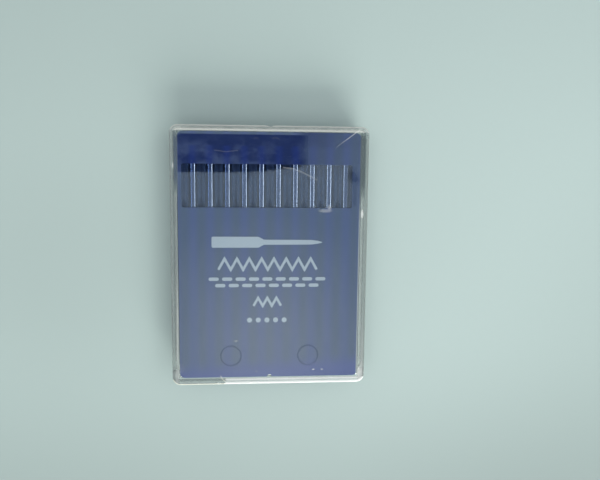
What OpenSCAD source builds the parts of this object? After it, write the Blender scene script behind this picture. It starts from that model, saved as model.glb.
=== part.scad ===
// Flat pack of sewing machine needles: a clear hinged case with a printed insert and a moulded bed.
// The pack lies on its back. X is its width, Y its length towards the needle butts, Z points up.
// The origin is at the middle of the closed pack's footprint, on the surface it lies on.
// Sizes run from the inside out: needle, bed, tray, lid.

/* [Needles] */
// Number of needles side by side
needle_count = 10; // [4:1:12]
// Distance between the axes of two neighbouring needles
needle_pitch = 4.15; // [4:0.05:5.5]
// Whole length of a needle, from butt to point
needle_length = 49.5; // [46:0.5:56]
// Diameter of the shank
shank_d = 2.0; // [1.6:0.05:2.2]
// Length of the shank, up to the shoulder cone
shank_length = 19.5; // [17:0.5:22]
// Length of the shoulder cone
shoulder_length = 1.8; // [1.2:0.1:3]
// Chamfer round the butt
butt_chamfer = 0.3; // [0.1:0.05:0.5]
// Diameter of the blade
blade_d = 0.9; // [0.8:0.05:1.2]
// Length of the tapered point
point_length = 3.2; // [2.5:0.1:4]
// Length ground off the very tip
tip_flat = 0.1; // [0.05:0.05:0.3]

/* [Needle eye and grooves] */
// Width of the eye
eye_width = 0.36; // [0.25:0.01:0.4]
// Length of the eye
eye_length = 1.3; // [1:0.1:1.6]
// Distance from the tip to the middle of the eye
eye_from_tip = 5.5; // [5:0.1:7]
// Width of the long thread groove
groove_width = 0.3; // [0.2:0.01:0.36]
// Depth of the long thread groove
groove_depth = 0.22; // [0.1:0.01:0.26]
// Radius of the wheel that ground the groove's run-out
groove_wheel_r = 6; // [3:0.5:8]
// Depth of the short groove round the eye
short_groove_depth = 0.1; // [0.05:0.01:0.14]
// Radius of the wheel that ground the short groove
short_groove_wheel_r = 10; // [5:1:14]
// Depth of the scarf
scarf_depth = 0.15; // [0.05:0.01:0.2]
// Radius of the wheel that ground the scarf
scarf_wheel_r = 14; // [8:1:20]
// Distance from the eye's middle back to the scarf's middle
scarf_from_eye = 2.4; // [2:0.1:3.5]

/* [Needle bed] */
// Wall of the moulded bed
bed_wall = 0.6; // [0.4:0.05:0.8]
// Clearance round a needle in its channel
channel_gap = 0.05; // [0.02:0.01:0.1]
// Length over which a channel stays wide beyond the shoulder cone
channel_step_gap = 0.8; // [0.3:0.1:2]
// Radius of the rounded edges along the mouths of the channels
mouth_r = 0.25; // [0.1:0.05:0.3]
// Height of the ribs above the shanks
rib_rise = 0.3; // [0.2:0.05:1.2]
// Width of the groove along the top of each rib
rib_groove_w = 0.5; // [0.3:0.1:1]
// Depth of the groove along the top of each rib
rib_groove_depth = 0.2; // [0.1:0.05:0.3]
// Width of the bed beyond the outermost channel pitch, on each side
bed_side_w = 1.45; // [1.2:0.05:3]
// Length of the bed beyond the channels at the butt end
bed_head_length = 2.9; // [1.5:0.1:6]
// Length of the bed beyond the channels at the point end
bed_tail_length = 4.95; // [2:0.05:8]
// Free length in a channel behind the butt
butt_gap = 0.3; // [0.1:0.1:1]
// Free length in a channel before the point
point_gap = 1.2; // [0.5:0.1:3]
// Radius of the bed's upright corners
bed_corner_r = 1.2; // [0.1:0.1:1.4]

/* [Tray] */
// Thickness of the tray's base plate
base_t = 1.0; // [0.6:0.1:1.5]
// Thickness of the tray's side walls and its hinge barrel
tray_wall = 0.7; // [0.5:0.05:1]
// Thickness of the tray's end wall, thinner so that it springs at the catch
tray_end_wall = 0.5; // [0.4:0.05:0.8]
// Clearance between the bed and the tray's walls
bed_gap = 0.15; // [0.05:0.05:0.4]
// Clearance between the tray's rim and the lid's plate
rim_gap = 0.1; // [0.05:0.05:0.3]
// Diameter of the marks that ejector pins left in the base
ejector_d = 3; // [1.5:0.5:5]
// Depth of the ejector marks
ejector_depth = 0.1; // [0.05:0.05:0.2]
// Distance of the ejector marks from the inside of the walls
ejector_inset = 5; // [4:0.5:9]

/* [Lid] */
// Thickness of the lid's plate
lid_plate_t = 0.9; // [0.6:0.1:1.5]
// Thickness of the lid's walls
lid_wall = 0.8; // [0.6:0.05:1.2]
// Clearance between the lid's walls and the tray's walls
lid_gap = 0.15; // [0.1:0.05:0.4]
// Height of the lid's lower edge above the surface that the pack lies on
lid_lift = 0.15; // [0.1:0.05:0.4]
// Radius of the case's upright corners
corner_r = 2.0; // [1.5:0.1:3]
// Radius of the round edge along the lid's top
edge_r = 0.5; // [0.3:0.05:0.8]
// Inner corner radius of the lid at the hinge end
hinge_corner_r = 0.4; // [0.2:0.05:0.5]
// Width of the finger relief in the lid's opening edge
relief_w = 12; // [6:1:20]
// Height of the finger relief
relief_h = 1.2; // [0.6:0.1:1.8]
// Diameter of the moulding gate's mark in the lid's opening edge
gate_d = 2.4; // [0.6:0.1:3]
// Depth of the gate mark
gate_depth = 0.3; // [0.1:0.05:0.4]
// Diameter of the two marks that ejector pins left under the lid's plate
lid_mark_d = 5; // [2:0.5:6]
// Depth of the marks under the lid's plate
lid_mark_depth = 0.1; // [0.05:0.05:0.2]
// Distance of these marks from the middle of the lid
lid_mark_x = 9.6; // [6:0.1:14]
// Distance of these marks from the lid's hinge end
lid_mark_y = 7.3; // [5:0.1:12]

/* [Hinge] */
// Diameter of the trunnion pins
pin_d = 1.6; // [1:0.05:2]
// Radial clearance of the pins in the lid's cheeks
pin_gap = 0.05; // [0.02:0.01:0.1]
// Distance of a pin's end below the lid's outer face
pin_end_gap = 0.1; // [0.05:0.05:0.3]
// Clearance between the insert and the tray's hinge barrel as the lid swings
swing_gap = 0.15; // [0.1:0.05:0.3]
// Play between the lid's end wall and the base plate when the lid stands open
stop_gap = 0.1; // [0.05:0.05:0.3]

/* [Catch] */
// Length of the catch bead along the tray's end wall
catch_length = 10; // [4:1:20]
// Diameter of the round catch bead
bead_d = 0.5; // [0.4:0.05:0.6]
// Height of the bead beyond the tray's wall
bead_height = 0.1; // [0.05:0.01:0.12]
// Clearance round the bead in the lid's groove
bead_gap = 0.12; // [0.1:0.01:0.2]

/* [Insert] */
// Thickness of the insert
film_t = 0.25; // [0.15:0.05:0.5]
// Clearance between the insert and the ribs of the bed
film_gap = 0.35; // [0.1:0.05:0.5]
// Gap between the insert and the lid's plate, bridged by thin spots of adhesive
glue_gap = 0.05; // [0.02:0.01:0.1]
// Clearance between the insert and the tray's side walls
film_side_gap = 0.15; // [0.1:0.05:0.5]
// Clearance between the insert and the tray's end wall
film_end_gap = 0.1; // [0.05:0.05:0.3]
// Margin between the insert and the case's hinge end
film_hinge_margin = 1.7; // [1.3:0.1:2.5]
// Radius of the insert's corners
film_corner_r = 1.3; // [0.5:0.1:2]
// Distance from the insert's upper edge to the window
window_from_edge = 7.7; // [5:0.1:10]
// Height of the window
window_h = 10.5; // [5:0.5:18]
// Width of the insert left beside the window, at its left
window_side = 0.9; // [0.5:0.1:3]
// Width of the insert left beside the window, at its right
window_far_side = 2.1; // [0.5:0.1:3]
// Radius of the window's corners
window_corner_r = 0.4; // [0.2:0.1:1]
// Diameter of the locating notch in the insert's lower edge
film_notch_d = 1.2; // [0.6:0.1:2]

/* [Hidden] */
$fn = 64;
// Length by which a cutting shape passes the surface that it cuts
over = 1;

shank_r = shank_d / 2;
blade_r = blade_d / 2;
blade_start = shank_length + shoulder_length;
eye_u = needle_length - eye_from_tip;
ogive_r = (point_length * point_length + blade_r * blade_r) / blade_d;
groove_run = sqrt(2 * groove_wheel_r * groove_depth - groove_depth * groove_depth);

channel_r = shank_r + channel_gap;
channel_body_r = channel_r + bed_wall;
blade_channel_r = blade_r + channel_gap;
blade_channel_body_r = blade_channel_r + bed_wall;
channel_length = needle_length + butt_gap + point_gap;
bed_w = needle_count * needle_pitch + 2 * bed_side_w;
bed_length = channel_length + bed_head_length + bed_tail_length;

tray_in_w = bed_w + 2 * bed_gap;
tray_w = tray_in_w + 2 * tray_wall;
lid_in_w = tray_w + 2 * lid_gap;
case_w = lid_in_w + 2 * lid_wall;

bed_z = base_t;
needle_z = bed_z + channel_body_r;
bed_top = needle_z + shank_r + rib_rise;
film_z = bed_top + film_gap;
plate_z = film_z + film_t + glue_gap;
rim_z = plate_z - rim_gap;
case_t = plate_z + lid_plate_t;

pivot_z = case_t / 2;
hinge_r = pivot_z - lid_lift;
barrel_r = film_z - pivot_z - swing_gap;
barrel_in_r = barrel_r - tray_wall;
pin_r = pin_d / 2;
web_y = stop_gap + tray_wall;

case_length = hinge_r + web_y + 2 * bed_gap + bed_length + tray_end_wall + lid_gap + lid_wall;
case_y0 = -case_length / 2;
case_y1 = case_length / 2;
pivot_y = case_y0 + hinge_r;
lid_in_y1 = case_y1 - lid_wall;
tray_y1 = lid_in_y1 - lid_gap;
tray_in_y1 = tray_y1 - tray_end_wall;
base_y0 = pivot_y + stop_gap;
bed_y1 = tray_in_y1 - bed_gap;
bed_y0 = bed_y1 - bed_length;
channel_y1 = bed_y1 - bed_head_length;
channel_y0 = channel_y1 - channel_length;
butt_y = channel_y1 - butt_gap;
channel_step_y = butt_y - blade_start - channel_step_gap;

film_w = tray_in_w - 2 * film_side_gap;
film_y0 = case_y0 + film_hinge_margin;
film_y1 = tray_in_y1 - film_end_gap;
window_w = film_w - window_side - window_far_side;
window_x = (window_side - window_far_side) / 2;
window_y1 = film_y1 - window_from_edge;

tray_corner_r = corner_r - lid_wall - lid_gap;
tray_in_corner_r = tray_corner_r - tray_wall;
lid_in_corner_r = corner_r - lid_wall;
bead_y = tray_y1 + bead_height - bead_d / 2;
bead_z = (pivot_z + rim_z) / 2;

function needle_x(i) = (i - (needle_count + 1) / 2) * needle_pitch;
function needle_name(i) = str("needle_", i < 10 ? "0" : "", i);

// Rectangle from y0 to y1, with one corner radius at the y0 end and another at the y1 end
module plan(w, y0, y1, r0, r1) {
    for (side = [-1, 1]) {
        translate([side * (w / 2 - r0), y0 + r0])
            circle(r = r0);
        translate([side * (w / 2 - r1), y1 - r1])
            circle(r = r1);
    }
    translate([-w / 2, y0 + r0])
        square([w, y1 - y0 - r0 - r1]);
    translate([-w / 2 + r0, y0])
        square([w - 2 * r0, r0 + over / 2]);
    translate([-w / 2 + r1, y1 - r1 - over / 2])
        square([w - 2 * r1, r1 + over / 2]);
}

// Extrudes a profile drawn in Y and Z across the width of the pack
module across(w) {
    rotate([90, 0, 90])
        linear_extrude(height = w, center = true)
            children();
}

// Extrudes a profile drawn in X and Z along the pack, from y1 back to y0
module along(y0, y1) {
    translate([0, y1, 0])
        rotate([90, 0, 0])
            linear_extrude(height = y1 - y0)
                children();
}

// Upright strip with a round upper outer edge, as wide as 2 r and centred on the axis
module round_edged(r, h) {
    translate([-r, 0])
        square([2 * r, h - edge_r]);
    translate([-r + edge_r, 0])
        square([2 * (r - edge_r), h]);
    for (side = [-1, 1])
        translate([side * (r - edge_r), h - edge_r])
            circle(r = edge_r);
}

// Solid block of the lid: round upright corners and a round upper edge all the way round
module lid_block() {
    h = case_t - lid_lift;
    reach_x = case_w / 2 - corner_r;
    reach_y = case_length / 2 - corner_r;
    translate([0, 0, lid_lift]) {
        along(-reach_y, reach_y)
            round_edged(case_w / 2, h);
        across(2 * reach_x)
            round_edged(case_length / 2, h);
        for (x = [-reach_x, reach_x], y = [-reach_y, reach_y])
            translate([x, y, 0])
                rotate_extrude()
                    intersection() {
                        round_edged(corner_r, h);
                        square([corner_r, h]);
                    }
    }
}

// Side view of the space below the pivot that the lid leaves free at the hinge end
module hinge_corner_side() {
    difference() {
        translate([case_y0 - over, -over])
            square([hinge_r + over, pivot_z + over]);
        translate([pivot_y, pivot_z])
            circle(r = hinge_r);
    }
}

module case_lid() {
    color([0.86, 0.9, 0.9, 0.35])
        difference() {
            lid_block();
            // Inside of the lid
            translate([0, 0, -over])
                linear_extrude(height = plate_z + over)
                    plan(lid_in_w, case_y0 + lid_wall, lid_in_y1, hinge_corner_r, lid_in_corner_r);
            // Opening between the cheeks, below the half-height wall
            translate([-lid_in_w / 2, case_y0 - over, -over])
                cube([lid_in_w, hinge_r + over, pivot_z + over]);
            // Round lower corner of the cheeks
            across(case_w + 2 * over)
                hinge_corner_side();
            // Hinge holes
            translate([0, pivot_y, pivot_z])
                rotate([0, 90, 0])
                    cylinder(r = pin_r + pin_gap, h = case_w + 2 * over, center = true);
            // Catch groove
            translate([0, bead_y, bead_z])
                rotate([0, 90, 0])
                    cylinder(d = bead_d + 2 * bead_gap, h = catch_length + 2 * bead_gap, center = true);
            // Finger relief and gate mark in the opening edge
            translate([-relief_w / 2, lid_in_y1 - over, -over])
                cube([relief_w, lid_wall + 2 * over, relief_h + lid_lift + over]);
            translate([0, case_y1 - gate_depth + gate_d / 2, pivot_z])
                cylinder(d = gate_d, h = case_t);
            // Ejector marks under the plate
            for (side = [-1, 1])
                translate([side * lid_mark_x, case_y0 + lid_mark_y, plate_z - over])
                    cylinder(d = lid_mark_d, h = over + lid_mark_depth);
        }
}

// Side view of the tray's hinge end: a barrel on a web that rises from the base plate
module hinge_end_side() {
    translate([pivot_y, pivot_z])
        circle(r = barrel_r);
    translate([base_y0, 0])
        square([tray_wall, pivot_z]);
}

// Side view of the room that opens into the barrel from inside the tray
module hinge_room_side() {
    translate([pivot_y, pivot_z])
        circle(r = barrel_in_r);
    translate([pivot_y, pivot_z])
        square([barrel_r + over, barrel_r + over]);
    translate([pivot_y + web_y, base_t])
        square([over, case_t]);
}

module case_tray() {
    ejector_x = tray_in_w / 2 - ejector_inset;
    ejector_y0 = bed_y0 + ejector_inset;
    ejector_y1 = bed_y1 - ejector_inset;
    color([0.86, 0.9, 0.9, 0.35])
        difference() {
            union() {
                linear_extrude(height = rim_z)
                    difference() {
                        plan(tray_w, base_y0 - over, tray_y1, over / 4, tray_corner_r);
                        translate([-tray_w, base_y0 - 2 * over])
                            square([2 * tray_w, 2 * over]);
                    }
                across(tray_w)
                    hinge_end_side();
                // Trunnion pins
                translate([0, pivot_y, pivot_z])
                    rotate([0, 90, 0])
                        cylinder(r = pin_r, h = case_w - 2 * pin_end_gap, center = true);
                // Catch bead
                translate([0, bead_y, bead_z])
                    rotate([0, 90, 0])
                        cylinder(d = bead_d, h = catch_length, center = true);
            }
            // Inside of the tray
            translate([0, 0, base_t])
                linear_extrude(height = case_t)
                    plan(tray_in_w, pivot_y + web_y, tray_in_y1, tray_in_corner_r, tray_in_corner_r);
            across(tray_in_w)
                hinge_room_side();
            // Ejector marks
            for (x = [-ejector_x, ejector_x], y = [ejector_y0, ejector_y1])
                translate([x, y, base_t - ejector_depth])
                    cylinder(d = ejector_d, h = over);
        }
}

module label_insert() {
    color([0.3, 0.38, 0.68, 0.85])
        translate([0, 0, film_z])
            linear_extrude(height = film_t)
                difference() {
                    plan(film_w, film_y0, film_y1, film_corner_r, film_corner_r);
                    translate([window_x, 0])
                        plan(window_w, window_y1 - window_h, window_y1, window_corner_r, window_corner_r);
                    translate([0, film_y0])
                        circle(d = film_notch_d);
                }
}

// Cross-section of a round-bottomed channel, open at the top
module channel_section(r, top) {
    translate([0, needle_z])
        circle(r = r);
    translate([-r, needle_z])
        square([2 * r, top - needle_z]);
}

// The same section with its two upper edges rounded outwards
module channel_mouth_section(r) {
    channel_section(r, bed_top + over);
    difference() {
        translate([-r - mouth_r, bed_top - mouth_r])
            square([2 * (r + mouth_r), mouth_r + over]);
        for (side = [-1, 1])
            translate([side * (r + mouth_r), bed_top - mouth_r])
                circle(r = mouth_r);
    }
}

module needle_bed() {
    hollow_y0 = bed_y0 + bed_wall;
    hollow_y1 = bed_y1 - bed_wall;
    color([0.5, 0.58, 0.72, 0.9])
        difference() {
            union() {
                difference() {
                    translate([0, 0, bed_z])
                        linear_extrude(height = bed_top - bed_z)
                            plan(bed_w, bed_y0, bed_y1, bed_corner_r, bed_corner_r);
                    translate([-bed_w / 2 + bed_wall, hollow_y0, -over])
                        cube([bed_w - 2 * bed_wall, hollow_y1 - hollow_y0, bed_top - bed_wall + over]);
                }
                for (i = [1 : needle_count])
                    translate([needle_x(i), 0, 0]) {
                        along(channel_step_y - bed_wall, channel_y1 + bed_wall)
                            channel_section(channel_body_r, bed_top);
                        along(channel_y0 - bed_wall, channel_step_y)
                            channel_section(blade_channel_body_r, bed_top);
                    }
            }
            for (i = [1 : needle_count])
                translate([needle_x(i), 0, 0]) {
                    along(channel_step_y, channel_y1)
                        channel_mouth_section(channel_r);
                    along(channel_y0, channel_step_y + over)
                        channel_mouth_section(blade_channel_r);
                }
            // Grooves along the ribs between the shanks
            for (i = [1 : needle_count - 1])
                translate([needle_x(i) + needle_pitch / 2, 0, bed_top - rib_groove_depth])
                    along(channel_step_y, channel_y1)
                        translate([-rib_groove_w / 2, 0])
                            square([rib_groove_w, over]);
        }
}

// Half profile of a needle, from its butt on the origin to its point
module needle_half() {
    polygon([
        [0, 0],
        [shank_r - butt_chamfer, 0],
        [shank_r, butt_chamfer],
        [shank_r, shank_length],
        [blade_r, blade_start],
        [blade_r, needle_length - point_length],
        [0, needle_length - point_length]
    ]);
    translate([0, needle_length - point_length])
        intersection() {
            translate([blade_r - ogive_r, 0])
                circle(r = ogive_r);
            square([blade_r, point_length - tip_flat]);
        }
}

// Eye: a slot with round ends, through the blade
module eye_cut() {
    straight = eye_length - eye_width;
    translate([0, 0, eye_u])
        rotate([90, 0, 0])
            linear_extrude(height = 2 * blade_d, center = true) {
                square([eye_width, straight], center = true);
                for (end = [-1, 1])
                    translate([0, end * straight / 2])
                        circle(d = eye_width);
            }
}

// Long groove on the front of the blade, with the wheel's run-out at the shoulder
module long_groove_cut() {
    floor_y = blade_r - groove_depth;
    start = blade_start + groove_run;
    end = eye_u + eye_length / 2;
    rotate([0, -90, 0])
        linear_extrude(height = groove_width, center = true) {
            translate([start, floor_y])
                square([end - start, over]);
            translate([start, floor_y + groove_wheel_r])
                circle(r = groove_wheel_r);
        }
}

// Scoop that a wheel of radius r leaves in the back of the blade
module back_scoop(u, r, depth, width) {
    translate([0, depth - blade_r - r, u])
        rotate([0, 90, 0])
            cylinder(r = r, h = width, center = true, $fn = 180);
}

// Needle i, lying in its channel with its long groove and eye facing up
module needle(i) {
    color("silver")
        translate([needle_x(i), butt_y, needle_z])
            rotate([90, 0, 0])
                difference() {
                    rotate_extrude()
                        needle_half();
                    long_groove_cut();
                    eye_cut();
                    back_scoop(eye_u, short_groove_wheel_r, short_groove_depth, groove_width);
                    back_scoop(eye_u - scarf_from_eye, scarf_wheel_r, scarf_depth, 2 * blade_d);
                }
}

case_tray();
case_lid();
label_insert();
needle_bed();
for (i = [1 : needle_count])
    needle(i);
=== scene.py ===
"""Looks of a clear, closed pack of sewing machine needles that lies on its back on a pale table.

Materials and outlines are written in mm, in the frame of the CAD model. Blender's own lengths are in metres.
"""

import math
from types import SimpleNamespace

import bmesh
import bpy
from mathutils import Euler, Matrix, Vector


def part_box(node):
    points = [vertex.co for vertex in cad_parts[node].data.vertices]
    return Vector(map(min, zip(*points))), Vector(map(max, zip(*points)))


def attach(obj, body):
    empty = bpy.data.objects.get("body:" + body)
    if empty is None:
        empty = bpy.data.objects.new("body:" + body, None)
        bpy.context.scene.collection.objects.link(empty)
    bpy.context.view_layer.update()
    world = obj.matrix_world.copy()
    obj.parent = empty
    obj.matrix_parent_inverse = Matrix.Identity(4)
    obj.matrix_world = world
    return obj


MM = 0.001

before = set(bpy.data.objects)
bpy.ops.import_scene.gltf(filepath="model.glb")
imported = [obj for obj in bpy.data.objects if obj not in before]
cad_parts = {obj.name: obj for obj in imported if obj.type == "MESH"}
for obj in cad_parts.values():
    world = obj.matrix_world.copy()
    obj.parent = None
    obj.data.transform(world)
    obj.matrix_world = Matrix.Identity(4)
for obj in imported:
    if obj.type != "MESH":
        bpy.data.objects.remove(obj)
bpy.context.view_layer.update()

NEEDLES = sorted(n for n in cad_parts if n.startswith("needle_") and n != "needle_bed")
NEEDLE_X = [sum(c.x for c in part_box(n)) / 2 for n in NEEDLES]
PITCH = (NEEDLE_X[-1] - NEEDLE_X[0]) / (len(NEEDLES) - 1) / MM

film_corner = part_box("label_insert")[1]
lid_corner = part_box("case_lid")[1]
# Right edge and upper face of the insert
FILM_X1 = film_corner.x / MM
FILM_Z1 = film_corner.z / MM
# Half sizes of the lid without its round corners
CORNER = 2.0
LID_X = lid_corner.x / MM - CORNER
LID_Y = lid_corner.y / MM - CORNER

# The window in the insert
WINDOW_X0, WINDOW_X1 = -21.3, 20.1
WINDOW_Y0, WINDOW_Y1 = 12.25, 22.75
WINDOW_CORNER = 0.4
# The film that closes it: play all round, and how far its two faces lie below the insert's upper face
WINDOW_PLAY = 0.01
WINDOW_FILM = (0.12, 0.02)

# Where zones of the case begin and where they are full: its two ends, its upper part, the lid's face and
# the lower edge that isn't chipped
LOW_END_Y = (-30.2, -30.6)
HIGH_END_Y = (30.3, 30.7)
UPPER_Z = (4.2, 4.7)
FACE_Z = (5.2, 5.4)
WHOLE_X = (-11.4, -10.6)
# Height of the tray's upper edge
TRAY_EDGE_Z = 4.45

# The two round marks under the lid's plate
LID_MARKS = ((-9.6, -24.7), (9.6, -24.7))
LID_MARK_R = 2.5
LID_MARK_LINE = (0.08, 0.25)

# The long scratch at the lid's upper right
SCRATCH = ((15.5, 26.7), (22.0, 31.5))
SCRATCH_WIDTH = 0.12
# Faint lines in the lid's face, worn lines and one painted highlight: points, width and share of scattered
# light
WEAR_AND_HIGHLIGHT_LINES = (
    (((3.0, 22.0), (5.4, 21.8), (7.8, 20.9), (11.5, 19.0)), 0.3, 0.15),
    (((-13.4, 26.0), (-10.6, 25.6), (-7.7, 26.0)), 0.2, 0.07),
    (((-4.1, 28.7), (-3.5, 29.1), (-2.8, 28.7)), 0.22, 0.05),
    (((0.4, 28.8), (1.3, 29.1), (2.3, 28.7)), 0.22, 0.05),
    (((-12.2, -29.6), (-11.7, -30.6), (-10.4, -31.8)), 0.22, 0.6),
    # The last two make a painted highlight along the left inner wall
    (((-22.5, -7.0), (-22.52, -12.0)), 0.28, 0.14),
    (((-22.52, -12.0), (-22.58, -17.0), (-22.76, -25.5)), 0.28, 0.25),
)
# Small white spots in the lid's face: place, radii and share of scattered light. Those marked below are
# painted highlights
WEAR_AND_GLINT_SPOTS = (
    (13.5, 11.6, 1.5, 0.4, 0.2),
    (14.5, 12.2, 0.4, 0.8, 0.24),
    (-8.3, -20.8, 0.45, 0.12, 0.4),
    (-3.3, -28.7, 0.25, 0.13, 0.5),
    # Painted highlights at the lower edge
    (11.0, -28.4, 0.4, 0.13, 0.5),
    (13.2, -28.4, 0.35, 0.13, 0.4),
    (-23.2, 22.3, 0.25, 0.8, 0.35),
    # A painted glint on the right wall
    (22.6, 10.8, 0.3, 1.0, 0.6),
    (-21.6, -27.6, 0.7, 1.1, 0.05),
)

# Colours of the clear plastic: by itself, in its walls, greyer there as painted shade, at the chipped edge,
# at the lid's marks, and for lamp rays
CLEAR = (0.985, 0.985, 0.975)
CLEAR_WALL_SHADE = (0.88, 0.9, 0.89)
CLEAR_CHIP = (0.8, 0.83, 0.82)
CLEAR_MARK = (0.7, 0.72, 0.76)
CLEAR_SHADOW = (0.97, 0.975, 0.97)
# Greys that the walls scatter, lighter or darker by place as painted light and shade
WALL = (0.28, 0.325, 0.31)
WALL_LOWER_RIGHT = (0.42, 0.44, 0.425)
WALL_RIGHT_CORNER = (0.62, 0.64, 0.62)
WALL_RIGHT_EDGE = (0.2, 0.235, 0.225)
WALL_UPPER_RIGHT = (0.11, 0.14, 0.145)
WALL_UPPER_LEFT = (0.09, 0.12, 0.16)
WALL_LEFT_EDGE = (0.46, 0.5, 0.49)
WALL_LOWER_LEFT = (0.3, 0.34, 0.33)
# Whites that worn places scatter, and whites of painted highlights on the edges
WORN_AND_HIGHLIGHT_WHITE = (0.86, 0.88, 0.85)
HIGH_END_WORN_AND_HIGHLIGHT_WHITE = (0.86, 0.87, 0.8)
CHIPPED_WORN_AND_HIGHLIGHT_WHITE = (0.7, 0.69, 0.57)

# Colours of the insert: dry between and over the needles, dry at its lower edge, clinging to the lid and as
# painted shade beside the window, clouds and traces of the butts in that, and its cut edge below and above
DRY = (0.078, 0.118, 0.188)
DRY_NEEDLE = (0.078, 0.116, 0.238)
DRY_LOWER = (0.078, 0.112, 0.27)
DEEP = (0.011, 0.022, 0.09)
DEEP_CLOUD = (0.042, 0.064, 0.15)
DEEP_BUTT = (0.014, 0.03, 0.175)
CUT_LOWER = (0.38, 0.43, 0.43)
CUT_UPPER = (0.12, 0.15, 0.18)

BED = ((0.006, 0.018, 0.048), (0.01, 0.024, 0.056))
BED_FLOW = (0.024, 0.046, 0.085)
BED_DEEP = (0.005, 0.011, 0.035)
STEEL = ((0.68, 0.72, 0.77), (0.74, 0.77, 0.81))
STEEL_FLANK_SHADE = (0.13, 0.2, 0.36)
HAZE_CLEAR = (0.88, 0.92, 0.985)
HAZE_MATT = (0.56, 0.68, 0.8)
INK = ((0.32, 0.41, 0.49), (0.4, 0.49, 0.56))
TABLE = ((0.46, 0.563, 0.53), (0.52, 0.635, 0.6))
TABLE_SPECK = (0.35, 0.4, 0.38)

# The room round the object
HORIZON = (0.6, 0.64, 0.63)
ROOM_WALL = (1.05, 1.07, 1.09)
CEILING = (0.045, 0.073, 0.15)
CEILING_LAMP = (0.8, 0.84, 0.8)
WINDOW_RIGHT = (3.8, 3.85, 3.85)
WINDOW_LEFT = (2.2, 2.25, 2.3)

# The print: its height above the film and its thickness
INK_GAP = 0.002
INK_DEPTH = 0.02
# x0, x1, y and half width of the plain needle
SIGN = (-14.2, 12.9, 3.8, 1.35)
# x0, x1, y0, y1, turns and width of each row of zigzag
ZIGZAGS = ((-12.6, 11.6, -3.0, -0.3, 16, 0.62), (-4.0, 2.8, -12.1, -10.1, 6, 0.6))
# x0, x1, y, length, gap and height of each row of straight stitches
STITCHES = (
    (-15.0, 14.0, -5.35, 2.5, 0.79, 0.85),
    (-13.4, 12.5, -6.95, 2.5, 0.79, 0.85),
    (-5.6, 4.3, -15.7, 1.25, 0.9, 1.25),
)

# In metres and degrees
TABLE_HALF = 1.5
KEY_PLACE = (0.29, -0.98, 0.285)
KEY_SIZE = (0.8, 0.32)
KEY_WATTS = 16.5
CAMERA_PLACE = (-4.43 * MM, 22.0 * MM, 151.02 * MM)
CAMERA_TURN = (-6.91, -4.555, 0.58)


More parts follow.
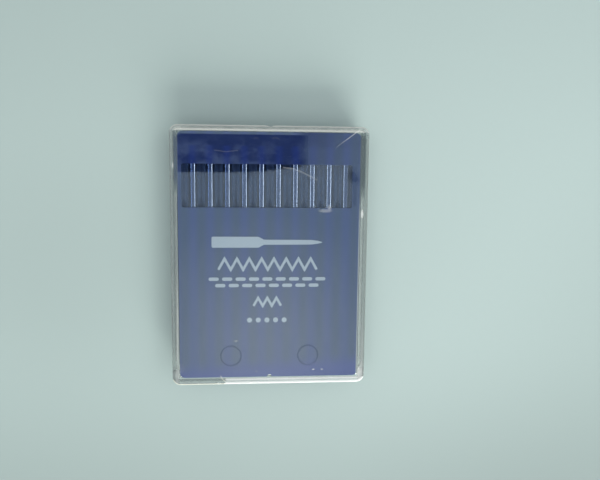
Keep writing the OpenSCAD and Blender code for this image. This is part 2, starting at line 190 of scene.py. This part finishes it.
class Tree:
    """Short calls that build one node tree."""

    def __init__(self, tree):
        self.tree = tree
        tree.nodes.clear()

    def node(self, kind, **settings):
        made = self.tree.nodes.new(kind)
        for name, value in settings.items():
            setattr(made, name, value)
        return made

    def put(self, socket, value):
        if isinstance(value, bpy.types.NodeSocket):
            self.tree.links.new(value, socket)
        elif isinstance(value, tuple) and socket.type == "RGBA" and len(value) == 3:
            socket.default_value = (*value, 1.0)
        else:
            socket.default_value = value

    def fill(self, made, *values):
        """Puts values into a node's first sockets and gives its first output."""
        for socket, value in zip(made.inputs, values):
            self.put(socket, value)
        return made.outputs[0]

    def math(self, operation, a, b=0.0):
        return self.fill(self.node("ShaderNodeMath", operation=operation), a, b)

    def plus(self, a, b):
        return self.math("ADD", a, b)

    def minus(self, a, b):
        return self.math("SUBTRACT", a, b)

    def size(self, a):
        return self.math("ABSOLUTE", a)

    def times(self, *values):
        product = values[0]
        for value in values[1:]:
            product = self.math("MULTIPLY", product, value)
        return product

    def highest(self, *values):
        top = values[0]
        for value in values[1:]:
            top = self.math("MAXIMUM", top, value)
        return top

    def hypot(self, a, b):
        return self.math("SQRT", self.plus(self.times(a, a), self.times(b, b)))

    def vector(self, operation, a, b=(0.0, 0.0, 0.0), scale=None):
        made = self.node("ShaderNodeVectorMath", operation=operation)
        self.fill(made, a, b)
        if scale is not None:
            self.put(made.inputs["Scale"], scale)
        return made.outputs["Value" if operation == "DISTANCE" else "Vector"]

    def mix(self, factor, a, b, blend="MIX"):
        made = self.node("ShaderNodeMix", data_type="RGBA", blend_type=blend)
        self.put(made.inputs["Factor"], factor)
        self.put(made.inputs["A"], a)
        self.put(made.inputs["B"], b)
        return made.outputs["Result"]

    def dim(self, colour, factor):
        """Colour times a number."""
        return self.mix(1.0, colour, self.join(factor, factor, factor), "MULTIPLY")

    def step(self, value, low, high, to_low=0.0, to_high=1.0):
        """Smooth step from to_low at low to to_high at high."""
        made = self.node("ShaderNodeMapRange", interpolation_type="SMOOTHSTEP")
        return self.fill(made, value, low, high, to_low, to_high)

    def fall(self, value, low, high):
        """Smooth step from 1 at low to 0 at high."""
        return self.step(value, low, high, 1.0, 0.0)

    def noise(self, where, scale, detail=2.0, roughness=0.5):
        made = self.node("ShaderNodeTexNoise")
        self.put(made.inputs["Vector"], where)
        self.put(made.inputs["Scale"], scale)
        self.put(made.inputs["Detail"], detail)
        self.put(made.inputs["Roughness"], roughness)
        return made.outputs["Fac"]

    def split(self, vector):
        made = self.node("ShaderNodeSeparateXYZ")
        self.fill(made, vector)
        return made.outputs

    def join(self, x, y, z):
        return self.fill(self.node("ShaderNodeCombineXYZ"), x, y, z)

    def apart(self, x, y, to_x, to_y):
        """Level distance between two places."""
        return self.vector("DISTANCE", self.join(x, y, 0.0), (to_x, to_y, 0.0))

    def bump(self, height, strength, distance, normal=None):
        """Relief of a strength, with distance in metres."""
        made = self.node("ShaderNodeBump")
        self.put(made.inputs["Height"], height)
        self.put(made.inputs["Strength"], strength)
        self.put(made.inputs["Distance"], distance)
        if normal is not None:
            self.put(made.inputs["Normal"], normal)
        return made.outputs[0]

    def mix_shader(self, factor, a, b):
        return self.fill(self.node("ShaderNodeMixShader"), factor, a, b)

    def let_through(self, shader, tint):
        """Lets lamp rays and diffuse rays pass straight on, so that what lies behind is lit."""
        clear = self.node("ShaderNodeBsdfTransparent")
        self.put(clear.inputs["Color"], tint)
        path = self.node("ShaderNodeLightPath")
        for ray in ("Is Shadow Ray", "Is Diffuse Ray"):
            shader = self.mix_shader(path.outputs[ray], shader, clear.outputs[0])
        return shader


class Material(Tree):
    """A material with its Principled shader and the place on the part in mm."""

    def __init__(self, name):
        self.material = bpy.data.materials.new(name)
        self.material.use_nodes = True
        super().__init__(self.material.node_tree)
        self.shader = self.node("ShaderNodeBsdfPrincipled")
        self.surface = self.shader.outputs[0]
        coordinates = self.node("ShaderNodeTexCoord")
        self.mm = self.vector("SCALE", coordinates.outputs["Object"], scale=1 / MM)
        self.x, self.y, self.z = self.split(self.mm)

    def set(self, **values):
        for name, value in values.items():
            self.put(self.shader.inputs[name.replace("_", " ")], value)

    def uneven(self, scales, detail=2.0, roughness=0.5):
        """Noise with a scale of its own along each axis."""
        return self.noise(self.vector("MULTIPLY", self.mm, scales), 1.0, detail, roughness)

    def finish(self, shader=None):
        """Gives the material its surface, which is the Principled shader alone if no other is named."""
        output = self.node("ShaderNodeOutputMaterial")
        self.put(output.inputs["Surface"], self.surface if shader is None else shader)
        return self.material


def spot_mask(m, x, y, rx, ry, soft):
    """1 inside an ellipse, fading to 0 outwards."""
    dx = m.math("DIVIDE", m.minus(m.x, x), rx)
    dy = m.math("DIVIDE", m.minus(m.y, y), ry)
    return m.fall(m.hypot(dx, dy), 1.0 - soft, 1.0 + soft)


def line_mask(m, a, b, width, soft=0.5, taper=0.1):
    """1 along the line from a to b, as wide as width, fading over taper of its length at its ends."""
    (ax, ay), (bx, by) = a, b
    length = math.hypot(bx - ax, by - ay)
    ux, uy = (bx - ax) / length, (by - ay) / length
    dx = m.minus(m.x, ax)
    dy = m.minus(m.y, ay)
    along = m.plus(m.times(dx, ux), m.times(dy, uy))
    off = m.size(m.minus(m.times(dx, uy), m.times(dy, ux)))
    return m.times(
        m.fall(off, width * (1 - soft) / 2, width * (1 + soft) / 2),
        m.step(along, 0.0, length * taper),
        m.fall(along, length * (1 - taper), length),
    )


def rounded_distance(m, x, y):
    """Distance from a rectangle that reaches x and y from the middle of the pack."""
    return m.hypot(m.highest(m.minus(m.size(m.x), x), 0.0), m.highest(m.minus(m.size(m.y), y), 0.0))


def off_rib(m):
    """Distance from the middle of the nearest rib between two needles, in pitches."""
    ribs = m.math("FRACT", m.plus(m.math("DIVIDE", m.x, PITCH), 0.5))
    return m.size(m.minus(ribs, 0.5))


def wet_mask(m):
    """Where the insert clings to the lid, so that its matt surface doesn't show."""
    uneven = m.minus(m.noise(m.mm, 0.8, 3.0, 0.6), 0.5)
    margin = m.plus(rounded_distance(m, 21.2, 28.6), m.times(uneven, 0.15))
    # A patch above the window, and its lower edge, which spills over the window and rises to the right
    patch = m.times(
        m.fall(m.plus(m.x, uneven), 7.4, 10.6),
        m.step(m.y, WINDOW_Y1 - 0.4, WINDOW_Y1 + 0.2),
    )
    lower_edge = m.plus(m.plus(20.75, uneven), m.step(m.x, -8.0, 12.0, 0.0, 1.5))
    spill = m.times(m.fall(m.x, 5.5, 9.5), m.step(m.minus(m.y, lower_edge), -0.3, 0.3))
    return m.highest(
        m.times(m.fall(margin, 1.1, 1.35), m.highest(patch, spill)),
        m.times(spot_mask(m, -5.4, 20.0, 0.6, 1.3, 0.7), 0.5),
        m.times(line_mask(m, (18.8, 22.4), (22.0, 17.4), 2.2, 0.95, 0.4), 0.6),
    )


def case_zones(m):
    """Masks of places on the case, and rim, the distance from the case without its round corners."""
    rim = rounded_distance(m, LID_X, LID_Y)
    low_end = m.step(m.y, *LOW_END_Y)
    high_end = m.step(m.y, *HIGH_END_Y)
    upper = m.step(m.z, *UPPER_Z)
    whole = m.step(m.x, *WHOLE_X)
    side_walls = m.times(m.fall(m.y, 28.5, 31.5), m.minus(1.0, low_end), upper)
    return SimpleNamespace(
        rim=rim,
        low_end=low_end,
        high_end=high_end,
        between=m.minus(m.minus(1.0, low_end), high_end),
        upper=upper,
        face=m.step(m.z, *FACE_Z),
        whole=whole,
        chipped=m.times(m.minus(1.0, whole), low_end),
        side_walls=side_walls,
        # Upper corners of the side walls, which carry painted shade
        painted_shade_upper_right=m.times(m.step(m.y, 12.0, 19.0), m.fall(m.x, 23.1, 23.5)),
        painted_shade_upper_left=m.times(
            m.step(m.x, -23.1, -22.9), m.step(m.x, -22.0, -22.2), m.step(m.y, 14.0, 20.0), side_walls
        ),
    )


def case_colour(m, zone):
    """Colour of the clear plastic, greyer in the walls except at the lower end, as painted shade."""
    walls = m.times(m.step(zone.rim, 0.3, 0.9), m.minus(1.0, zone.low_end))
    colour = m.mix(walls, CLEAR, CLEAR_WALL_SHADE)
    colour = m.mix(m.times(zone.chipped, m.step(zone.rim, 0.2, 0.5)), colour, CLEAR_CHIP)
    for x, y in LID_MARKS:
        off = m.size(m.minus(m.apart(m.x, m.y, x, y), LID_MARK_R))
        colour = m.mix(m.times(m.fall(off, *LID_MARK_LINE), zone.upper), colour, CLEAR_MARK)
    return colour


def wall_scatter_and_painted_shade(m, zone):
    """Share of grey light that the walls scatter. The hinge ends and the side walls scatter more, and the
    upper corners carry painted shade.
    """
    rub = m.noise(m.mm, 0.35, 3.0, 0.5)
    return m.highest(
        m.times(m.step(zone.rim, 0.7, 1.3), m.step(rub, 0.3, 0.7, 0.16, 0.26)),
        m.times(m.step(m.x, 22.6, 23.5, 0.0, 0.65), zone.side_walls),
        m.times(zone.painted_shade_upper_right, m.step(m.x, 22.0, 22.2), zone.side_walls, 0.7),
        m.times(m.step(m.y, -27.8, -28.4), m.step(m.size(m.x), 22.2, 22.6), 0.5),
        m.times(m.step(m.x, -23.2, -23.5, 0.0, 0.28), zone.side_walls),
        m.times(zone.painted_shade_upper_left, 0.6),
    )


def wear_and_painted_highlights(m, zone):
    """Share of white light that scratches, specks and worn spots scatter, and painted highlights on the
    case's edges.
    """
    tray_edge = m.times(
        m.step(zone.rim, 0.2, 0.35),
        m.fall(zone.rim, 1.1, 1.25),
        m.fall(m.size(m.minus(m.z, TRAY_EDGE_Z)), 0.1, 0.16),
    )
    # The painted highlight along the lower edge is narrower where the edge is chipped
    outwards = m.minus(zone.rim, m.step(m.x, *WHOLE_X, 0.45, 0.0))
    low_line = m.times(m.step(zone.rim, 0.5, 0.6), m.fall(zone.rim, 0.95, 1.05))
    scratch_share = m.step(m.x, 15.6, 20.5, 0.12, 0.65)
    marks = [
        # Painted highlights: a band and a line on the lower edge, two lines on the upper end, lines on the
        # tray's edge
        m.times(zone.low_end, m.step(m.z, 5.1, 5.25), m.step(outwards, 1.15, 1.3), 0.7),
        m.times(zone.low_end, zone.upper, zone.whole, low_line, 0.45),
        m.times(zone.high_end, zone.upper, m.step(zone.rim, 1.55, 1.75), 0.62),
        m.times(zone.high_end, zone.upper, m.step(zone.rim, 0.5, 0.8), 0.24),
        m.times(zone.high_end, tray_edge, 0.38),
        m.times(zone.between, tray_edge, m.fall(m.y, 14.0, 20.0), 0.2),
        m.times(line_mask(m, *SCRATCH, SCRATCH_WIDTH), scratch_share, zone.face),
    ]
    for points, width, share in WEAR_AND_HIGHLIGHT_LINES:
        for a, b in zip(points, points[1:]):
            marks.append(m.times(line_mask(m, a, b, width, 0.9, 0.02), zone.face, share))
    for x, y, rx, ry, share in WEAR_AND_GLINT_SPOTS:
        marks.append(m.times(spot_mask(m, x, y, rx, ry, 0.6), zone.face, share))
    return m.highest(*marks)


def scatter_colour_and_painted_light(m, zone, walls, wear_and_highlights):
    """Colour of the scattered light: a wall's grey with painted light and shade by place, or white at wear
    and painted highlights.
    """
    # Painted light and shade: lighter walls to the lower right and at the left edge, darker at the right
    # edge and upper corners
    rightwards = m.step(m.x, -5.0, 5.0, 0.3, 1.0)
    left_edge = m.mix(m.step(m.y, -15.0, -28.0), WALL_LEFT_EDGE, WALL_LOWER_LEFT)
    grey = WALL
    for mask, tone in (
        (m.times(rightwards, m.step(m.y, -8.0, -31.0)), WALL_LOWER_RIGHT),
        (m.times(rightwards, m.step(m.y, -26.0, -28.5)), WALL_RIGHT_CORNER),
        (m.step(m.x, 23.4, 23.7), WALL_RIGHT_EDGE),
        (m.times(zone.painted_shade_upper_right, m.step(m.x, 20.0, 21.0)), WALL_UPPER_RIGHT),
        (zone.painted_shade_upper_left, WALL_UPPER_LEFT),
        (m.step(m.x, -23.1, -23.4), left_edge),
    ):
        grey = m.mix(mask, grey, tone)
    white = m.mix(zone.chipped, m.mix(zone.high_end, WORN_AND_HIGHLIGHT_WHITE, HIGH_END_WORN_AND_HIGHLIGHT_WHITE), CHIPPED_WORN_AND_HIGHLIGHT_WHITE)
    return m.mix(m.step(m.minus(wear_and_highlights, walls), -0.1, 0.1), grey, white)


def clear_case():
    m = Material("clear_case")
    zone = case_zones(m)
    waves = m.uneven((0.25, 0.12, 0.25), 1.0)
    ripples = m.uneven((1.2, 0.4, 1.2))
    dust = m.step(m.noise(m.mm, 2.2, 4.0, 0.7), 0.62, 0.8)
    m.set(
        Base_Color=case_colour(m, zone),
        Roughness=m.plus(m.times(dust, 0.05), 0.02),
        IOR=1.58,
        Transmission_Weight=1.0,
        Normal=m.bump(ripples, 0.012, 0.00002, m.bump(waves, 0.05, 0.0006)),
    )
    walls = wall_scatter_and_painted_shade(m, zone)
    wear_and_highlights = wear_and_painted_highlights(m, zone)
    scattered = m.node("ShaderNodeBsdfDiffuse")
    m.put(scattered.inputs["Color"], scatter_colour_and_painted_light(m, zone, walls, wear_and_highlights))
    shader = m.mix_shader(m.highest(walls, wear_and_highlights), m.surface, scattered.outputs[0])
    return m.finish(m.let_through(shader, CLEAR_SHADOW))


def dry_film(m, over_needles):
    """Colour of the film where it is dry, bluer over the needles and at its lower edge."""
    thin = m.uneven((0.7, 0.03, 1.0))
    stripes = m.times(over_needles, m.step(thin, 0.25, 0.6, 0.7, 1.0))
    low_edge = m.step(m.plus(m.y, m.times(m.x, -0.05)), -25.0, -29.5)
    return m.mix(low_edge, m.mix(stripes, DRY, DRY_NEEDLE), DRY_LOWER)


def deep_film(m, over_needles):
    """Colour of the film where it clings: deep blue, with pale clouds and a trace of the butts below."""
    cloud = m.uneven((0.22, 0.3, 1.0), 4.0, 0.6)
    pale = m.times(
        m.step(cloud, 0.4, 0.66), m.step(m.y, 29.0, 26.5, 0.3, 1.0), m.step(m.x, -12.0, 4.0, 1.0, 0.6)
    )
    butts = m.times(m.math("POWER", over_needles, 2.0), m.fall(m.y, 26.8, 27.4), 0.6)
    return m.mix(butts, m.mix(pale, DEEP, DEEP_CLOUD), DEEP_BUTT)


def blue_insert():
    m = Material("blue_insert")
    wet = wet_mask(m)
    waves = m.math("COSINE", m.times(m.plus(m.x, PITCH / 2), 2 * math.pi / PITCH))
    over_needles = m.plus(m.times(waves, 0.5), 0.5)
    # The film clings by halves right of the patch, and a band beside the window gets painted shade in the
    # clinging colour
    half_wet = m.times(
        m.step(m.y, WINDOW_Y1 - 0.4, WINDOW_Y1 + 0.4),
        m.step(m.x, 8.0, 22.0, 0.55, 0.14),
        m.step(m.y, 25.5, 28.0, 1.0, 1.3),
        m.step(m.x, 5.0, 9.0),
    )
    painted_shade_strip = m.times(
        m.step(m.x, WINDOW_X1, WINDOW_X1 + 0.2),
        m.fall(m.x, 21.0, 21.5),
        m.step(m.y, WINDOW_Y0, WINDOW_Y0 + 0.8),
        m.fall(m.y, 22.0, 23.0),
        0.3,
    )
    clinging_or_painted_shade = m.highest(wet, half_wet, painted_shade_strip)
    colour = m.mix(clinging_or_painted_shade, dry_film(m, over_needles), deep_film(m, over_needles))
    # The cut edge at the right looks pale, and dark beside the dull band
    cut_edge = m.step(m.x, FILM_X1 - 0.42, FILM_X1 - 0.15, 0.0, 0.85)
    colour = m.mix(cut_edge, colour, m.mix(m.step(m.y, 8.0, 16.0), CUT_LOWER, CUT_UPPER))
    grain = m.noise(m.mm, 9.0)
    m.set(
        Base_Color=colour,
        Roughness=m.times(m.step(grain, 0.2, 0.8, 0.38, 0.42), m.minus(1.0, m.times(wet, 0.7))),
        IOR=1.5,
        Normal=m.bump(grain, 0.03, 0.00001),
    )
    return m.finish()


def bed_plastic():
    m = Material("bed_plastic")
    grain = m.uneven((3.0, 0.5, 3.0))
    # Flow lines of the moulding run along the ribs, four to a pitch
    flow = m.plus(m.times(m.math("COSINE", m.times(m.x, 8 * math.pi / PITCH)), -0.5), 0.5)
    colour = m.mix(flow, m.mix(m.noise(m.mm, 0.3), *BED), BED_FLOW)
    # Deeper tone between the butts, near the window's upper edge
    between = m.times(m.step(m.y, 19.7, 20.6), m.fall(off_rib(m), 0.17, 0.24), 0.6)
    m.set(
        Base_Color=m.mix(between, colour, BED_DEEP),
        Roughness=m.step(grain, 0.2, 0.8, 0.42, 0.5),
        Specular_IOR_Level=0.2,
        Normal=m.bump(grain, 0.015, 0.00001),
    )
    return m.finish()


def needle_steel():
    m = Material("needle_steel")
    grind = m.uneven((1.0, 14.0, 1.0), 3.0, 0.7)
    stain = m.noise(m.mm, 0.6, 3.0)
    # Darker, bluer left flanks, most on the needles at the left: painted shade that dims their left
    # highlight
    off_axis = m.minus(m.math("FRACT", m.math("DIVIDE", m.x, PITCH)), 0.5)
    painted_shade_flank = m.times(m.fall(off_axis, -0.09, -0.02), m.step(m.x, -15.0, 12.0, 1.0, 0.1))
    m.set(
        Base_Color=m.mix(painted_shade_flank, m.mix(stain, *STEEL), STEEL_FLANK_SHADE),
        Metallic=1.0,
        Roughness=m.step(grind, 0.2, 0.8, 0.07, 0.13),
        Normal=m.bump(grind, 0.03, 0.000004),
    )
    return m.finish()


def window_haze():
    """Clear, unprinted film: matt where it is dry, quite clear where it clings to the lid."""
    m = Material("window_haze")
    clear = m.node("ShaderNodeBsdfTransparent")
    m.put(clear.inputs["Color"], HAZE_CLEAR)
    m.set(Base_Color=HAZE_MATT, Roughness=0.6)
    cloud = m.uneven((0.9, 0.25, 1.0), 3.0)
    # Haze thinned over the ribs at the window's lower edge: painted shadow in wedges
    painted_shadow_wedge = m.minus(m.step(m.y, WINDOW_Y0 - 0.6, WINDOW_Y0 + 2.8, 0.24, 0.0), off_rib(m))
    share = m.times(
        m.minus(1.0, wet_mask(m)),
        m.step(cloud, 0.25, 0.75, 0.082, 0.102),
        # Less haze to the left: painted shade
        m.step(m.x, -20.0, 16.0, 0.86, 1.0),
        m.step(painted_shadow_wedge, -0.03, 0.05, 1.0, 0.7),
    )
    return m.finish(m.mix_shader(share, clear.outputs[0], m.surface))


def print_ink():
    m = Material("print_ink")
    worn = m.noise(m.mm, 3.0, 3.0, 0.7)
    m.set(Base_Color=m.mix(worn, *INK), Roughness=m.step(worn, 0.3, 0.7, 0.45, 0.6))
    return m.finish()


def table():
    m = Material("table")
    fine = m.noise(m.mm, 0.6, 4.0, 0.6)
    # Paler to the right: painted light across the table
    colour = m.mix(m.step(m.x, -75.0, 75.0), *TABLE)
    # Painted shade round the pack: darker to the bottom, the lower right, above the pack and to its left,
    # and darker paint under the key light, where it would glare
    shade = m.times(
        m.step(m.y, -85.0, -20.0, 0.76, 1.0),
        m.step(m.minus(m.x, m.y), 50.0, 150.0, 1.0, 0.85),
        m.step(m.y, 20.0, 75.0, 1.0, 0.945),
        m.step(m.apart(m.x, m.y, -50.0, -5.0), 5.0, 40.0, 0.95, 1.0),
        m.step(m.apart(m.x, m.y, KEY_PLACE[0] / MM, KEY_PLACE[1] / MM), 500.0, 950.0, 0.18, 1.0),
    )
    m.set(
        Base_Color=m.mix(m.times(fine, 0.06), m.dim(colour, shade), TABLE_SPECK),
        Roughness=0.7,
        Specular_IOR_Level=0.1,
        Normal=m.bump(fine, 0.05, 0.00005),
    )
    return m.finish()


def flat_solid(name, outlines, strips, z0, z1):
    """Closed flat solids from z0 to z1, over convex outlines and over strips between two edges."""
    mesh = bpy.data.meshes.new(name)
    made = bmesh.new()

    def corners(points, z):
        return [made.verts.new((x * MM, y * MM, z * MM)) for x, y in points]

    for outline in outlines:
        low, high = corners(outline, z0), corners(outline, z1)
        made.faces.new(list(reversed(low)))
        made.faces.new(high)
        for i in range(len(outline)):
            made.faces.new((low[i - 1], low[i], high[i], high[i - 1]))
    for left, right in strips:
        low_left, high_left = corners(left, z0), corners(left, z1)
        low_right, high_right = corners(right, z0), corners(right, z1)
        # Top, bottom, left side and right side of each stretch, and then the two ends
        edges = (
            (high_right, high_left),
            (low_left, low_right),
            (high_left, low_left),
            (low_right, high_right),
        )
        for i in range(1, len(left)):
            for a, b in edges:
                made.faces.new((a[i - 1], a[i], b[i], b[i - 1]))
        made.faces.new((low_left[0], low_right[0], high_right[0], high_left[0]))
        made.faces.new((high_left[-1], high_right[-1], low_right[-1], low_left[-1]))
    bmesh.ops.recalc_face_normals(made, faces=made.faces)
    made.to_mesh(mesh)
    made.free()
    piece = bpy.data.objects.new(name, mesh)
    bpy.context.scene.collection.objects.link(piece)
    return piece


def rounded_bar(x0, y0, x1, y1, radius, steps=5):
    """Outline of a bar with round corners."""
    radius = min(radius, (x1 - x0) / 2, (y1 - y0) / 2)
    points = []
    for cx, cy, start in (
        (x1 - radius, y0 + radius, -90),
        (x1 - radius, y1 - radius, 0),
        (x0 + radius, y1 - radius, 90),
        (x0 + radius, y0 + radius, 180),
    ):
        for i in range(steps + 1):
            turn = math.radians(start + 90 * i / steps)
            points.append((cx + radius * math.cos(turn), cy + radius * math.sin(turn)))
    return points


def needle_sign(x0, x1, y, half):
    """The lower and upper edges of a plain needle that lies along X with its butt at x0."""
    length = x1 - x0
    profile = [
        (x0, 0.8 * half),
        (x0 + 0.15 * half, half),
        (x0 + 0.42 * length, half),
        (x0 + 0.47 * length, 0.46 * half),
        (x0 + 0.9 * length, 0.42 * half),
        (x0 + 0.96 * length, 0.26 * half),
        (x1, 0.04 * half),
    ]
    return [(x, y + h) for x, h in profile], [(x, y - h) for x, h in profile]


def stroke(points, width):
    """The two edges of a line of even width through points, with mitred corners and square ends."""
    left, right = [], []
    for i, (x, y) in enumerate(points):
        before = points[max(i - 1, 0)]
        after = points[min(i + 1, len(points) - 1)]
        a = Vector((x - before[0], y - before[1]))
        b = Vector((after[0] - x, after[1] - y))
        a = a.normalized() if a.length else b.normalized()
        b = b.normalized() if b.length else a
        middle = (a + b).normalized()
        reach = width / 2 / max(middle.dot(a), 0.3)
        left.append((x - middle.y * reach, y + middle.x * reach))
        right.append((x + middle.y * reach, y - middle.x * reach))
    return left, right


def zigzag(x0, x1, y0, y1, turns, width):
    """The two edges of a row of zigzag stitches."""
    return stroke([(x0 + (x1 - x0) * i / turns, y1 if i % 2 else y0) for i in range(turns + 1)], width)


def running_stitches(x0, x1, y, length, gap, height):
    """Outlines of a row of straight stitches, as many as fit from x0 to x1."""
    outlines = []
    at = x0
    while at + length <= x1 + 0.01:
        outlines.append(rounded_bar(at, y - height / 2, at + length, y + height / 2, height / 2))
        at = at + length + gap
    return outlines


def add_print():
    z0 = FILM_Z1 + INK_GAP
    strips = [needle_sign(*SIGN)] + [zigzag(*row) for row in ZIGZAGS]
    outlines = [outline for row in STITCHES for outline in running_stitches(*row)]
    piece = flat_solid("insert_print", outlines, strips, z0, z0 + INK_DEPTH)
    piece.data.materials.append(print_ink())
    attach(piece, "lid")


def add_window_film():
    outline = rounded_bar(
        WINDOW_X0 + WINDOW_PLAY,
        WINDOW_Y0 + WINDOW_PLAY,
        WINDOW_X1 - WINDOW_PLAY,
        WINDOW_Y1 - WINDOW_PLAY,
        WINDOW_CORNER - WINDOW_PLAY,
    )
    piece = flat_solid("window_film", [outline], [], *(FILM_Z1 - depth for depth in WINDOW_FILM))
    piece.data.materials.append(window_haze())
    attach(piece, "lid")


def dress_cad_nodes():
    case = clear_case()
    looks = {"case_tray": case, "case_lid": case, "label_insert": blue_insert(), "needle_bed": bed_plastic()}
    steel = needle_steel()
    for name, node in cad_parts.items():
        for slot in node.material_slots:
            slot.material = looks.get(name, steel)


def add_table():
    mesh = bpy.data.meshes.new("table")
    corners = [(x * TABLE_HALF, y * TABLE_HALF, 0) for x, y in ((-1, -1), (1, -1), (1, 1), (-1, 1))]
    mesh.from_pydata(corners, [], [(0, 1, 2, 3)])
    floor = bpy.data.objects.new("table", mesh)
    bpy.context.scene.collection.objects.link(floor)
    floor.data.materials.append(table())


def add_world():
    world = bpy.data.worlds.new("room")
    bpy.context.scene.world = world
    world.use_nodes = True
    t = Tree(world.node_tree)
    x, y, z = t.split(t.node("ShaderNodeTexCoord").outputs["Generated"])
    # Bright walls over a pale horizon, and a dim ceiling with one soft lamp in it
    walls = t.dim(ROOM_WALL, t.times(t.step(x, -0.8, 0.8, 0.65, 1.15), t.step(y, -0.7, 0.7, 1.0, 0.85)))
    walls = t.mix(t.step(z, 0.25, 0.55), HORIZON, walls)
    lamp = t.fall(t.apart(x, y, 0.015, -0.29), 0.0, 0.26)
    off_zenith = t.hypot(t.math("DIVIDE", x, 0.7), t.math("DIVIDE", y, 0.5))
    colour = t.mix(t.step(off_zenith, 0.85, 1.2), t.mix(lamp, CEILING, CEILING_LAMP), walls)
    # A tall window on either side, which the round shanks mirror as two bright lines
    level = t.fall(t.size(y), 0.3, 0.42)
    right = t.times(t.step(x, 0.73, 0.79), t.step(z, 0.28, 0.36), level)
    left = t.times(t.fall(x, -0.68, -0.62), t.step(x, -0.85, -0.75), level)
    colour = t.mix(right, colour, t.dim(WINDOW_RIGHT, t.step(x, 0.8, 0.9, 1.0, 0.5)))
    colour = t.mix(left, colour, WINDOW_LEFT)
    background = t.node("ShaderNodeBackground")
    t.put(background.inputs["Color"], colour)
    t.put(t.node("ShaderNodeOutputWorld").inputs["Surface"], background.outputs[0])


def add_key_light():
    lamp = bpy.data.lights.new("key", "AREA")
    lamp.shape = "RECTANGLE"
    lamp.size, lamp.size_y = KEY_SIZE
    lamp.energy = KEY_WATTS
    lamp.color = (1.0, 0.99, 0.97)
    key = bpy.data.objects.new("key", lamp)
    key.location = KEY_PLACE
    key.rotation_euler = (-key.location).to_track_quat("-Z", "Y").to_euler()
    bpy.context.scene.collection.objects.link(key)


def add_camera():
    data = bpy.data.cameras.new("camera")
    data.lens = 36
    data.sensor_width = 36
    data.clip_start = 0.01
    data.clip_end = 10
    camera = bpy.data.objects.new("camera", data)
    camera.location = CAMERA_PLACE
    camera.rotation_mode = "XYZ"
    camera.rotation_euler = Euler([math.radians(a) for a in CAMERA_TURN], "XYZ")
    bpy.context.scene.collection.objects.link(camera)
    bpy.context.scene.camera = camera


dress_cad_nodes()
add_print()
add_window_film()
add_table()
add_world()
add_key_light()
add_camera()
bpy.context.scene.view_settings.view_transform = "Standard"
